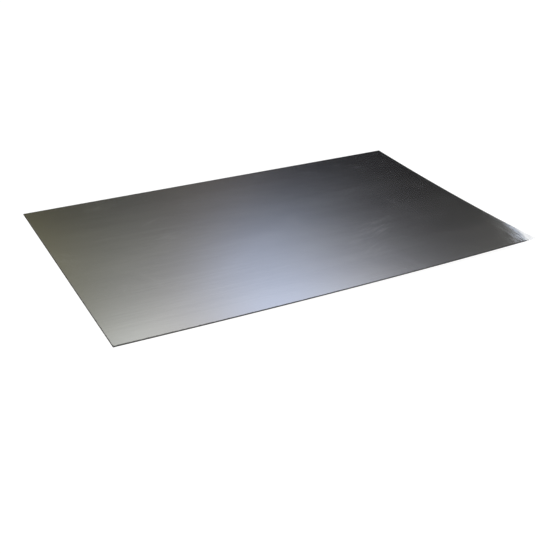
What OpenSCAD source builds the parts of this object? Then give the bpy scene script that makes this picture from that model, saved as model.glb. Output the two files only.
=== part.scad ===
// Cold-rolled steel plate in sheet gauge: one rectangular piece cut on a guillotine
// shear. Its back-left half lies flat on the floor. From one straight slanting line on,
// a gentle set from handling curves the rest of the sheet up to the front-right corner.
// The origin is at the middle of the sheet's outline, on the floor. +X runs along the
// long side, +Y away from the front edge, +Z up.

/* [Sheet] */
// Length of the long side
sheet_length = 914.4; // [600:0.1:3000]
// Width of the short side
sheet_width = 609.6; // [400:0.1:1500]
// Thickness of the metal, 16 gauge
sheet_thickness = 1.52; // [0.5:0.01:6]

/* [Corner lift] */
// Height of the front-right corner's underside above the floor
corner_lift = 17.5; // [1:0.5:40]
// Where the bend line crosses the front edge, from the front-left corner
bend_front = 27; // [0:1:400]
// Where the bend line crosses the right edge, from the front-right corner
bend_side = 600; // [200:1:800]
// How the bend tightens: 2 is an even curve, 3 keeps most of the bend near the corner
bend_power = 2.2; // [1.5:0.1:3]
// Number of strips that the bent area is ruled into
bend_strips = 48; // [12:1:96]

/* [Finish] */
// Colour of the bare metal
steel_colour = "#70737a"; // ["#70737a", "#8a8c90", "#5c5f64"]

/* [Hidden] */

// Front-left end of the bend line, and the way it runs
bend_from = [bend_front - sheet_length / 2, -sheet_width / 2];
bend_to = [sheet_length / 2, bend_side - sheet_width / 2];
bend_run = (bend_to - bend_from) / norm(bend_to - bend_from);
// Across the bend line, towards the lifted corner
bend_across = [bend_run[1], -bend_run[0]];
lifted_corner = [sheet_length / 2, -sheet_width / 2];
// Distance of the lifted corner from the bend line
reach = (lifted_corner - bend_from) * bend_across;
// Long enough to cover the sheet whichever way the bend line runs
cover = 2 * (sheet_length + sheet_width);
// The bent profile runs a little past the corner, so that the outline cuts it everywhere
past = 1.02;

// Height and slope of the underside, at a distance s across the bend line
function rise(s) = s <= 0 ? 0 : corner_lift * pow(s / reach, bend_power);
function slope(s) = s <= 0 ? 0 : corner_lift * bend_power / reach * pow(s / reach, bend_power - 1);
// Strips are spaced so that each one turns by about the same angle
function station(i) = reach * past * pow(i / bend_strips, 1 / (bend_power - 1));
// A point on the top face: the thickness is measured square to the underside
function on_top(s) = [s, rise(s)] + sheet_thickness * [-slope(s), 1] / norm([-slope(s), 1]);

// Section across the bend line: flat on the left, rising on the right
module section() {
    underside = [for (i = [0:bend_strips]) [station(i), rise(station(i))]];
    top = [for (i = [bend_strips:-1:0]) on_top(station(i))];
    polygon(concat([[-cover, 0]], underside, top, [[-cover, sheet_thickness]]));
}

// The sheet before it is cut to size: the section drawn out along the bend line
module bent_stock() {
    translate([bend_from[0], bend_from[1], 0])
        rotate([0, 0, atan2(bend_across[1], bend_across[0])])
            rotate([90, 0, 0])
                linear_extrude(height = 2 * cover, center = true)
                    section();
}

// Square-cut outline of the sheet, taller than the lifted corner
module outline() {
    translate([-sheet_length / 2, -sheet_width / 2, -1])
        cube([sheet_length, sheet_width, corner_lift * 2 + sheet_thickness * 2 + 2]);
}

module steel_plate() {
    color(steel_colour)
        intersection() {
            bent_stock();
            outline();
        }
}

steel_plate();
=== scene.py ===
import math

import bpy
import numpy as np
from mathutils import Matrix, Vector, noise


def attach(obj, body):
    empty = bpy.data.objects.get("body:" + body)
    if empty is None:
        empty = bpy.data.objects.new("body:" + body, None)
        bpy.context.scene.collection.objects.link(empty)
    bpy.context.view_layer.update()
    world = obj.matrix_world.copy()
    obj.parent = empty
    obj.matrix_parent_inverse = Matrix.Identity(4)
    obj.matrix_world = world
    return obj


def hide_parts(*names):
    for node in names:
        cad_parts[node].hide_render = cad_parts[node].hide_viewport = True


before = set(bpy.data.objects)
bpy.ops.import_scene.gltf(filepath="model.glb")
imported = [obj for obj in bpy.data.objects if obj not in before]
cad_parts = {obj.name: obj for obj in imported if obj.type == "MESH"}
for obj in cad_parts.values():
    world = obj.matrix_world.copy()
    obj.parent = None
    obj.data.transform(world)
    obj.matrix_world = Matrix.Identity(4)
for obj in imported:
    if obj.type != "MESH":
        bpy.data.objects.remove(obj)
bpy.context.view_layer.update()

# ---------------------------------------------------------------------------------------
# The sheet's real size, in metres, as in the CAD model
# ---------------------------------------------------------------------------------------
LENGTH, WIDTH, THICK = 0.9144, 0.6096, 0.00152
LIFT, BEND_FRONT, BEND_SIDE, BEND_POWER = 0.0175, 0.027, 0.600, 2.2
ROUGH, EDGE_TINT = 0.12, 0.6

HX, HY = LENGTH / 2, WIDTH / 2
bend_from = np.array([BEND_FRONT - HX, -HY])
bend_to = np.array([HX, BEND_SIDE - HY])
bend_run = (bend_to - bend_from) / np.linalg.norm(bend_to - bend_from)
bend_across = np.array([bend_run[1], -bend_run[0]])
reach = float((np.array([HX, -HY]) - bend_from) @ bend_across)


def rise(x, y):
    """Height of the sheet's underside above the floor, and its slope across the bend line."""
    s = (x - bend_from[0]) * bend_across[0] + (y - bend_from[1]) * bend_across[1]
    t = np.maximum(s, 0.0) / reach
    return LIFT * t**BEND_POWER, LIFT * BEND_POWER / reach * t ** (BEND_POWER - 1)


# ---------------------------------------------------------------------------------------
# Node helpers
# ---------------------------------------------------------------------------------------
class Nodes:
    """Short calls for building a node tree."""

    def __init__(self, tree):
        self.tree = tree
        self.nodes = tree.nodes
        self.links = tree.links

    def put(self, socket, value):
        if isinstance(value, bpy.types.NodeSocket):
            self.links.new(value, socket)
        elif value is not None:
            socket.default_value = value

    def new(self, kind, **settings):
        n = self.nodes.new(kind)
        for k, v in settings.items():
            setattr(n, k, v)
        return n

    def math(self, op, a, b=None, c=None, clamp=False):
        n = self.new("ShaderNodeMath", operation=op, use_clamp=clamp)
        for socket, value in zip(n.inputs, (a, b, c)):
            self.put(socket, value)
        return n.outputs[0]

    def vec(self, op, a, b=None, scale=None):
        n = self.new("ShaderNodeVectorMath", operation=op)
        self.put(n.inputs[0], a)
        if b is not None:
            self.put(n.inputs[1], b)
        if scale is not None:
            self.put(n.inputs["Scale"], scale)
        return n.outputs["Value"] if op in ("DOT_PRODUCT", "LENGTH", "DISTANCE") else n.outputs["Vector"]

    def mapping(self, v, scale=(1, 1, 1), rotation=(0, 0, 0), location=(0, 0, 0)):
        """Coordinates turned first and then stretched, so that streaks follow the turn."""
        if any(rotation):
            n = self.new("ShaderNodeMapping")
            self.put(n.inputs["Vector"], v)
            n.inputs["Rotation"].default_value = rotation
            v = n.outputs["Vector"]
        n = self.new("ShaderNodeMapping")
        self.put(n.inputs["Vector"], v)
        n.inputs["Scale"].default_value = scale
        n.inputs["Location"].default_value = location
        return n.outputs["Vector"]

    def noise(self, v, scale=5.0, detail=2.0, rough=0.5, distortion=0.0):
        n = self.new("ShaderNodeTexNoise")
        self.put(n.inputs["Vector"], v)
        n.inputs["Scale"].default_value = scale
        n.inputs["Detail"].default_value = detail
        n.inputs["Roughness"].default_value = rough
        n.inputs["Distortion"].default_value = distortion
        return n.outputs["Fac"]

    def remap(self, v, a, b, c=0.0, d=1.0, smooth=True):
        n = self.new("ShaderNodeMapRange", interpolation_type="SMOOTHSTEP" if smooth else "LINEAR")
        self.put(n.inputs["Value"], v)
        n.inputs["From Min"].default_value = a
        n.inputs["From Max"].default_value = b
        n.inputs["To Min"].default_value = c
        n.inputs["To Max"].default_value = d
        return n.outputs["Result"]

    def mix(self, f, a, b, blend="MIX"):
        n = self.new("ShaderNodeMix", data_type="RGBA", blend_type=blend)
        self.put(n.inputs["Factor"], f)
        self.put(n.inputs["A"], a)
        self.put(n.inputs["B"], b)
        return n.outputs["Result"]

    def mixf(self, f, a, b):
        n = self.new("ShaderNodeMix", data_type="FLOAT")
        self.put(n.inputs["Factor"], f)
        self.put(n.inputs["A"], a)
        self.put(n.inputs["B"], b)
        return n.outputs["Result"]

    def bump(self, height, strength, distance, normal=None):
        n = self.new("ShaderNodeBump")
        n.inputs["Strength"].default_value = strength
        n.inputs["Distance"].default_value = distance
        self.put(n.inputs["Height"], height)
        if normal is not None:
            self.put(n.inputs["Normal"], normal)
        return n.outputs["Normal"]


def material(name):
    m = bpy.data.materials.new(name)
    m.use_nodes = True
    m.node_tree.nodes.clear()
    g = Nodes(m.node_tree)
    out = g.new("ShaderNodeOutputMaterial")
    p = g.new("ShaderNodeBsdfPrincipled")
    g.links.new(p.outputs["BSDF"], out.inputs["Surface"])
    return m, g, p


# ---------------------------------------------------------------------------------------
# Sheet mesh: a fine grid on both faces and a sheared edge all round
# ---------------------------------------------------------------------------------------
def stations(half, step):
    """Grid lines across the sheet: finer next to both edges."""
    edge = [0.00045, 0.0010, 0.0020, 0.0036, 0.0060]
    inner = half - edge[-1]
    n = max(2, round(2 * inner / step))
    middle = list(np.linspace(-inner, inner, n + 1))
    left = [-half + e for e in edge[:-1]]
    return np.array(left + middle + [-v for v in reversed(left)])


# Depth below the top face (share of the thickness) and inset from the outline (mm), down
# the edge: rolled over where the blade enters, burnished, torn, with a fine burr.
EDGE = [
    (0.000, 0.45), (0.012, 0.26), (0.045, 0.11), (0.11, 0.03), (0.20, 0.00),
    (0.42, 0.00), (0.50, 0.04), (0.72, 0.09), (0.93, 0.07), (0.985, 0.02), (1.000, 0.10),
    (1.000, 0.45),
]
CORNER_R = 0.0009


def sheet_mesh():
    xs, ys = stations(HX, 0.0043), stations(HY, 0.0043)
    nx, ny = len(xs), len(ys)
    gx, gy = np.meshgrid(xs, ys, indexing="ij")

    def surface(x, y, depth):
        """Points of the sheet at a depth below its top face, square to it."""
        z, g = rise(x, y)
        n = 1 / np.sqrt(1 + g * g)
        up = THICK * (1 - depth)
        return np.stack(
            [x - bend_across[0] * g * n * up, y - bend_across[1] * g * n * up, z + n * up], -1
        )

    verts, faces, kinds = [], [], []
    top = surface(gx, gy, 0.0).reshape(-1, 3)
    bottom = surface(gx, gy, 1.0).reshape(-1, 3)
    verts.extend(top)
    verts.extend(bottom)
    nb = len(top)

    def at(i, j):
        return i * ny + j

    for i in range(nx - 1):
        for j in range(ny - 1):
            faces.append((at(i, j), at(i + 1, j), at(i + 1, j + 1), at(i, j + 1)))
            kinds.append(0)
            faces.append((nb + at(i, j), nb + at(i, j + 1), nb + at(i + 1, j + 1), nb + at(i + 1, j)))
            kinds.append(0)

    # Round the outline, anticlockwise seen from above
    loop = [(i, 0) for i in range(nx)] + [(nx - 1, j) for j in range(1, ny)]
    loop += [(i, ny - 1) for i in range(nx - 2, -1, -1)] + [(0, j) for j in range(ny - 2, 0, -1)]
    rings = [[at(i, j) for i, j in loop]]
    for k, (depth, inset) in enumerate(EDGE[1:-1], 1):
        row = []
        for i, j in loop:
            x, y = xs[i], ys[j]
            d, e = depth, inset
            # the tear wanders along the edge
            wob = noise.noise(Vector((x * 55, y * 55, k * 3.1)))
            torn = max(0.0, min(1.0, (d - 0.3) * 3))
            e = max(0.0, e + 0.035 * wob * torn)
            d = min(1.0, max(0.0, d + 0.03 * wob * torn * (1 - d)))
            e /= 1000
            px = math.copysign(HX - e, x) if i in (0, nx - 1) else x
            py = math.copysign(HY - e, y) if j in (0, ny - 1) else y
            # corners are very slightly round
            qx, qy = abs(px) - (HX - CORNER_R), abs(py) - (HY - CORNER_R)
            if qx > 0 and qy > 0:
                h = math.hypot(qx, qy)
                r = CORNER_R - e
                if h > r:
                    px = math.copysign(HX - CORNER_R + qx * r / h, px)
                    py = math.copysign(HY - CORNER_R + qy * r / h, py)
            row.append(len(verts))
            verts.append(surface(np.array(px), np.array(py), d))
        rings.append(row)
    rings.append([nb + at(i, j) for i, j in loop])
    n = len(loop)
    for r in range(len(rings) - 1):
        a, b = rings[r], rings[r + 1]
        for k in range(n):
            faces.append((a[k], b[k], b[(k + 1) % n], a[(k + 1) % n]))
            kinds.append(1 if 1 <= r <= len(rings) - 3 else 0)
    me = bpy.data.meshes.new("steel_plate")
    me.from_pydata([tuple(float(c) for c in v) for v in verts], [], faces)
    me.polygons.foreach_set("material_index", kinds)
    me.polygons.foreach_set("use_smooth", [True] * len(faces))
    me.update()
    me.validate()
    return me


sheet = bpy.data.objects.new("steel_sheet", sheet_mesh())
bpy.context.scene.collection.objects.link(sheet)
weighted = sheet.modifiers.new("weighted", "WEIGHTED_NORMAL")
weighted.keep_sharp = False
weighted.weight = 100


# ---------------------------------------------------------------------------------------
# Materials
# ---------------------------------------------------------------------------------------
def corner_scuff_and_highlight(g, at, cx, cy):
    """How far the corner at the front right is painted bright: scuff marks under a painted highlight, the marks
    running along the short edge.
    """
    far = g.math("ADD", g.math("MULTIPLY", cx, 1.25), g.math("MULTIPLY", cy, 0.47))
    far = g.math("SUBTRACT", far, 0.003)
    marks = g.noise(g.mapping(at, (155, 17, 1), (0, 0, math.radians(10)), (0.3, 0.9, 0)), 1.0, 2.0, 0.5)
    fine = g.noise(g.mapping(at, (700, 22, 1), (0, 0, math.radians(7))), 1.0, 4.0, 0.6)
    patch = g.noise(at, 38, 3.0, 0.55)
    far = g.math("ADD", far, g.math("MULTIPLY", g.math("SUBTRACT", patch, 0.5), 0.012))
    far = g.math("DIVIDE", g.math("MAXIMUM", far, 0.0), 0.0272)
    s = g.math("DIVIDE", 1.0, g.math("ADD", 1.0, g.math("POWER", far, 3.5)))
    s = g.math("MULTIPLY", s, g.remap(far, 4.5, 2.3), clamp=True)
    swing = g.math("MULTIPLY", g.math("SUBTRACT", marks, 0.5), g.remap(cy, 0.004, 0.080, 5.0, 2.2))
    swing = g.math("ADD", swing, g.math("MULTIPLY", g.math("SUBTRACT", fine, 0.5), 1.2))
    swing = g.math("MULTIPLY", swing, g.math("SUBTRACT", 1.0, g.math("MULTIPLY", s, 0.80)))
    return g.math("MULTIPLY", s, g.math("ADD", 1.0, swing), clamp=True), g.math("ADD", fine, marks)


def steel():
    """Bare cold-rolled steel: satin, with rolling grain, faint oil marks, light wear, a painted highlight on the
    front right corner and painted shade along the outline.
    """
    m, g, p = material("bare_steel")
    at = g.new("ShaderNodeTexCoord").outputs["Object"]
    sep = g.new("ShaderNodeSeparateXYZ")
    g.put(sep.inputs[0], at)
    x, y = sep.outputs["X"], sep.outputs["Y"]

    # fine grain, longer streaks and wide bands, all along the rolling direction
    grain = g.noise(g.mapping(at, (28, 1700, 28)), 1.0, 3.0, 0.6)
    streak = g.noise(g.mapping(at, (2.0, 210, 2.0)), 1.0, 4.0, 0.6)
    band = g.noise(g.mapping(at, (0.6, 17, 1)), 1.0, 2.0, 0.5)
    # oil left on the sheet, wiped along it
    cloud = g.noise(g.mapping(at, (3.2, 6.5, 4)), 1.0, 4.0, 0.55, 0.5)

    # hairline scratches: thin ridges of stretched noise, kept only in places
    hair = None
    for turn, along, across, seed in ((8, 5.0, 300, 1.7), (-27, 7.0, 340, 6.1), (71, 8.0, 380, 11.3)):
        v = g.mapping(at, (along, across, 1), (0, 0, math.radians(turn)), (seed, seed * 0.37, 0))
        ridge = g.remap(g.math("ABSOLUTE", g.math("SUBTRACT", g.noise(v, 1.0, 1.0, 0.4), 0.5)), 0.0, 0.011, 1.0, 0.0)
        where = g.remap(g.noise(g.mapping(at, (4, 9, 1), (0, 0, math.radians(turn)), (seed * 2, 3, 0)), 1.0, 2.0), 0.57, 0.72)
        line = g.math("MULTIPLY", ridge, where)
        hair = line if hair is None else g.math("MAXIMUM", hair, line)

    # distances in from the right and front edges, and from the outline, a little ragged
    cx, cy = g.math("SUBTRACT", HX, x), g.math("ADD", HY, y)
    ex = g.math("SUBTRACT", HX, g.math("ABSOLUTE", x))
    ey = g.math("SUBTRACT", HY, g.math("ABSOLUTE", y))
    edge = g.math("MINIMUM", ex, ey)
    ragged = g.math("ADD", edge, g.math("MULTIPLY", g.math("SUBTRACT", g.noise(at, 170, 4.0), 0.5), 0.003))
    rub = g.remap(ragged, 0.0012, 0.0034, 1.0, 0.0)
    # painted shade: a dark band just inside the outline, widened along the front as a painted shadow line under the
    # edge
    front_shadow_widening = g.math("MULTIPLY", g.remap(cy, 0.003, 0.008, 1.0, 0.0), g.remap(x, -HX, 0.15, 0.0015, 0.0005))
    edge_shade_mask = g.remap(g.math("SUBTRACT", ragged, front_shadow_widening), 0.0007, 0.0019, 1.0, 0.0)

    scuff_and_highlight, relief = corner_scuff_and_highlight(g, at, cx, cy)

    base = g.mix(g.remap(cloud, 0.3, 0.7), (0.571, 0.571, 0.574, 1), (0.599, 0.598, 0.594, 1))
    tone = g.math("ADD", 1.0, g.math("MULTIPLY", g.math("SUBTRACT", streak, 0.5), 0.13))
    tone = g.math("ADD", tone, g.math("MULTIPLY", g.math("SUBTRACT", band, 0.5), 0.05))
    tone = g.math("ADD", tone, g.math("MULTIPLY", g.math("SUBTRACT", grain, 0.5), 0.10))
    # wiped a little cleaner along the front edge
    clean = g.math("MULTIPLY", g.remap(cy, 0.0, 0.15, 1.0, 0.0), g.remap(x, -0.25, 0.10, 0.10, 0.01))
    tone = g.math("ADD", tone, clean)
    base = g.vec("SCALE", base, scale=tone)
    base = g.mix(g.math("MULTIPLY", hair, 0.30), base, (0.82, 0.82, 0.82, 1))
    base = g.mix(g.math("MULTIPLY", rub, 0.25), base, (0.66, 0.66, 0.67, 1))
    # the front right corner turns near white and pale blue: scuff wear with a painted highlight and a painted blue
    # reflection
    worn_and_highlight = g.mix(g.remap(scuff_and_highlight, 0.30, 0.95), (0.77, 0.83, 0.94, 1), (0.90, 0.915, 0.935, 1))
    base = g.mix(g.remap(scuff_and_highlight, 0.0, 0.35), base, worn_and_highlight)
    # the painted shade along the outline, kept off the bright corner
    painted_edge_shade = g.math("MULTIPLY", edge_shade_mask, g.remap(scuff_and_highlight, 0.35, 0.95, 0.80, 0.0))
    base = g.mix(painted_edge_shade, base, (0.06, 0.058, 0.055, 1))
    g.put(p.inputs["Base Color"], base)

    r = g.math("ADD", ROUGH, g.math("MULTIPLY", g.math("SUBTRACT", cloud, 0.5), 0.022))
    r = g.math("ADD", r, g.math("MULTIPLY", g.math("SUBTRACT", streak, 0.5), 0.018))
    r = g.math("ADD", r, g.math("MULTIPLY", g.math("SUBTRACT", band, 0.5), 0.010))
    r = g.math("ADD", r, g.math("MULTIPLY", hair, 0.10))
    r = g.mixf(g.math("MULTIPLY", rub, 0.4), r, 0.24)
    # the painted highlight also makes the corner rough and not metallic, so its pale colour shows
    r = g.mixf(scuff_and_highlight, r, 0.62)
    g.put(p.inputs["Roughness"], r)
    g.put(p.inputs["Metallic"], g.math("SUBTRACT", 1.0, g.math("MULTIPLY", scuff_and_highlight, 0.98)))
    p.inputs["Specular Tint"].default_value = (EDGE_TINT, EDGE_TINT, EDGE_TINT, 1)

    n = g.bump(grain, 0.25, 0.000002)
    n = g.bump(hair, 0.4, 0.000004, n)
    n = g.bump(g.math("MULTIPLY", relief, scuff_and_highlight), 0.35, 0.00006, n)
    g.put(p.inputs["Normal"], n)
    return m


def cut_edge():
    """The sheared edge: dull steel painted near-black as shade, with fine lines down it where the blade dragged."""
    m, g, p = material("sheared_edge")
    at = g.new("ShaderNodeTexCoord").outputs["Object"]
    drag = g.noise(g.mapping(at, (2400, 2400, 90)), 1.0, 3.0, 0.6)
    patch = g.noise(at, 90, 3.0, 0.6)
    # near-black colours: painted shade of the unlit edge face
    c = g.mix(g.remap(drag, 0.3, 0.7), (0.006, 0.006, 0.007, 1), (0.020, 0.019, 0.018, 1))
    c = g.mix(g.remap(patch, 0.45, 0.75), c, (0.014, 0.011, 0.009, 1))
    sep = g.new("ShaderNodeSeparateXYZ")
    g.put(sep.inputs[0], at)
    scuff_and_highlight, _ = corner_scuff_and_highlight(g, at, g.math("SUBTRACT", HX, sep.outputs["X"]), g.math("ADD", HY, sep.outputs["Y"]))
    # painted highlight on the edge at the front right corner
    c = g.mix(g.remap(scuff_and_highlight, 0.45, 1.0), c, (0.80, 0.81, 0.83, 1))
    g.put(p.inputs["Base Color"], c)
    g.put(p.inputs["Roughness"], g.remap(patch, 0.3, 0.7, 0.55, 0.72))
    p.inputs["Metallic"].default_value = 0.0
    p.inputs["Specular IOR Level"].default_value = 0.2
    g.put(p.inputs["Normal"], g.bump(drag, 0.5, 0.00003))
    return m


sheet.data.materials.append(steel())
sheet.data.materials.append(cut_edge())
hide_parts("steel_plate")
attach(sheet, "root")


# ---------------------------------------------------------------------------------------
# Floor, lights and camera
# ---------------------------------------------------------------------------------------
def floor():
    me = bpy.data.meshes.new("floor")
    s = 60.0
    me.from_pydata([(-s, -s, 0), (s, -s, 0), (s, s, 0), (-s, s, 0)], [], [(0, 1, 2, 3)])
    o = bpy.data.objects.new("floor", me)
    bpy.context.scene.collection.objects.link(o)
    m, g, p = material("pale_floor")
    p.inputs["Base Color"].default_value = (0.16, 0.16, 0.16, 1)
    p.inputs["Roughness"].default_value = 0.9
    p.inputs["Specular IOR Level"].default_value = 0.0
    p.inputs["Emission Color"].default_value = (1, 1, 1, 1)
    p.inputs["Emission Strength"].default_value = 0.90
    m.cycles.emission_sampling = "NONE"
    me.materials.append(m)
    return o


floor()

VIEW_YAW = 27.03602

# The studio round the sheet: soft light from directions given as degrees round from the
# way the camera looks and degrees above the horizon.
LIGHTS = [
    ((-1.2, 29.5, 3.0, 3.0), (0.31, 0.48, 0.82)),
    ((-3.2, 45.2, 3.0, 10.3), (1.06, 0.80, 0.50)),
    ((13.8, 28.0, 3.0, 3.0), (0.74, 0.73, 0.69)),
    ((-8.5, 46.7, 3.7, 8.5), (3.19, 3.34, 3.43)),
    ((4.2, 31.75, 3.3, 3.0), (2.55, 2.57, 2.78)),
    ((-31.2, 30.5, 9.4, 4.7), (1.53, 1.44, 0.89)),
    ((5.0, 31.0, 8.0, 4.2), (0.042, 0.040, 0.036)),
    # softboxes to the sides, for the other views
    ((-77.0, 24.5, 7.5, 6.0), (0.78, 0.80, 0.84)),
    ((100.5, 15.5, 6.0, 5.0), (1.00, 1.02, 1.07)),
    ((147.0, 27.0, 6.5, 6.0), (0.62, 0.63, 0.65)),
    ((-158.0, 26.0, 6.5, 6.0), (0.62, 0.63, 0.65)),
]
# the big key softbox, high up behind the camera
KEY = ((180.0, 56.0, 55.0, 9.0), (5.60, 5.60, 5.60))
BRIGHTEST = 1.4
AMBIENT = (0.003, 0.003, 0.003)
WALL = (0.45, 0.447, 0.44)
FILL = (0.18, 0.18, 0.182)
HORIZON = (0.55, 0.55, 0.545)
DOME = 0.30


def studio():
    w = bpy.data.worlds.new("studio")
    bpy.context.scene.world = w
    w.use_nodes = True
    w.cycles.sampling_method = "NONE"
    w.node_tree.nodes.clear()
    g = Nodes(w.node_tree)
    out = g.new("ShaderNodeOutputWorld")
    d = g.new("ShaderNodeTexCoord").outputs["Generated"]
    d = g.vec("NORMALIZE", d)
    yaw = math.radians(VIEW_YAW)
    sep = g.new("ShaderNodeSeparateXYZ")
    g.put(sep.inputs[0], d)
    x0, y0, z = sep.outputs
    x = g.math("SUBTRACT", g.math("MULTIPLY", x0, math.cos(yaw)), g.math("MULTIPLY", y0, math.sin(yaw)))
    y = g.math("ADD", g.math("MULTIPLY", x0, math.sin(yaw)), g.math("MULTIPLY", y0, math.cos(yaw)))
    az = g.math("DEGREES", g.math("ARCTAN2", x, y))
    el = g.math("DEGREES", g.math("ARCSINE", g.math("MINIMUM", g.math("MAXIMUM", z, -1.0), 1.0)))
    # overhead, and pale walls to both sides and behind the camera
    dome = g.remap(el, 58.0, 80.0, 0.0, DOME)
    top = g.vec("DOT_PRODUCT", d, (-0.126, 0.070, 0.9896))
    top = g.math("EXPONENT", g.math("DIVIDE", g.math("SUBTRACT", top, 1.0), 0.0150))
    dome = g.math("ADD", dome, g.math("MULTIPLY", top, 0.45))
    off = g.math("ABSOLUTE", g.math("SUBTRACT", az, 3.0))
    up = g.math("DIVIDE", g.math("SUBTRACT", el, 36.0), 16.0)
    wall = g.math("EXPONENT", g.math("MULTIPLY", g.math("MULTIPLY", up, up), -0.5))
    wall = g.math("MULTIPLY", wall, g.remap(off, 100.0, 150.0))
    up = g.math("DIVIDE", g.math("SUBTRACT", el, 26.0), 20.0)
    fill = g.math("EXPONENT", g.math("MULTIPLY", g.math("MULTIPLY", up, up), -0.5))
    fill = g.math("MULTIPLY", fill, g.remap(off, 40.0, 62.0))
    total = g.vec("ADD", tuple(AMBIENT), g.vec("SCALE", (1, 1, 1), scale=dome))
    total = g.vec("ADD", total, g.vec("SCALE", tuple(WALL), scale=wall))
    total = g.vec("ADD", total, g.vec("SCALE", tuple(FILL), scale=fill))
    total = g.vec("ADD", total, g.vec("SCALE", tuple(HORIZON), scale=g.remap(el, 4.0, 13.0, 1.0, 0.0)))

    def lobe(total, light):
        (a, e, sa, se), colour = light
        # signed difference in azimuth, wrapped to half a turn
        da = g.math("SUBTRACT", az, a)
        da = g.math("WRAP", da, -180.0, 180.0)
        qa = g.math("DIVIDE", da, sa)
        qe = g.math("DIVIDE", g.math("SUBTRACT", el, e), se)
        q = g.math("ADD", g.math("MULTIPLY", qa, qa), g.math("MULTIPLY", qe, qe))
        f = g.math("EXPONENT", g.math("MULTIPLY", q, -0.5))
        return g.vec("ADD", total, g.vec("SCALE", tuple(colour), scale=f))

    for light in LIGHTS:
        total = lobe(total, light)
    # the softboxes are evenly bright across their middles
    level = g.vec("DOT_PRODUCT", total, (1 / 3, 1 / 3, 1 / 3))
    level = g.math("POWER", g.math("DIVIDE", level, BRIGHTEST), 8.0)
    level = g.math("POWER", g.math("ADD", level, 1.0), -1 / 8)
    total = g.vec("SCALE", total, scale=level)
    total = lobe(total, KEY)
    lit = g.new("ShaderNodeBackground")
    g.put(lit.inputs["Color"], total)
    seen = g.new("ShaderNodeBackground")
    seen.inputs["Color"].default_value = (1, 1, 1, 1)
    seen.inputs["Strength"].default_value = 1.05
    mix = g.new("ShaderNodeMixShader")
    g.put(mix.inputs["Fac"], g.new("ShaderNodeLightPath").outputs["Is Camera Ray"])
    g.links.new(lit.outputs[0], mix.inputs[1])
    g.links.new(seen.outputs[0], mix.inputs[2])
    g.links.new(mix.outputs[0], out.inputs["Surface"])


studio()


def camera():
    data = bpy.data.cameras.new("camera")
    data.sensor_width = 36.0
    data.lens = 1012.4465 / 554 * 36.0
    data.clip_start, data.clip_end = 0.01, 200.0
    pitch, yaw, roll = (math.radians(v) for v in (27.984306, 27.087264, 0.702452))
    fwd = Vector((math.sin(yaw) * math.cos(pitch), math.cos(yaw) * math.cos(pitch), -math.sin(pitch)))
    right = Vector((math.cos(yaw), -math.sin(yaw), 0))
    up = right.cross(fwd)
    r = right * math.cos(roll) + up * math.sin(roll)
    u = up * math.cos(roll) - right * math.sin(roll)
    o = bpy.data.objects.new("camera", data)
    m = Matrix((
        (r.x, u.x, -fwd.x, 0), (r.y, u.y, -fwd.y, 0), (r.z, u.z, -fwd.z, 0), (0, 0, 0, 1),
    ))
    at = Vector((-0.423187 - HX, -1.442775 - HY, 0.926113))
    o.matrix_world = Matrix.Translation(at) @ m
    bpy.context.scene.collection.objects.link(o)
    bpy.context.scene.camera = o


camera()

scene = bpy.context.scene
scene.view_settings.view_transform = "Standard"
scene.view_settings.look = "None"
scene.view_settings.exposure = 0.0
scene.view_settings.gamma = 1.0
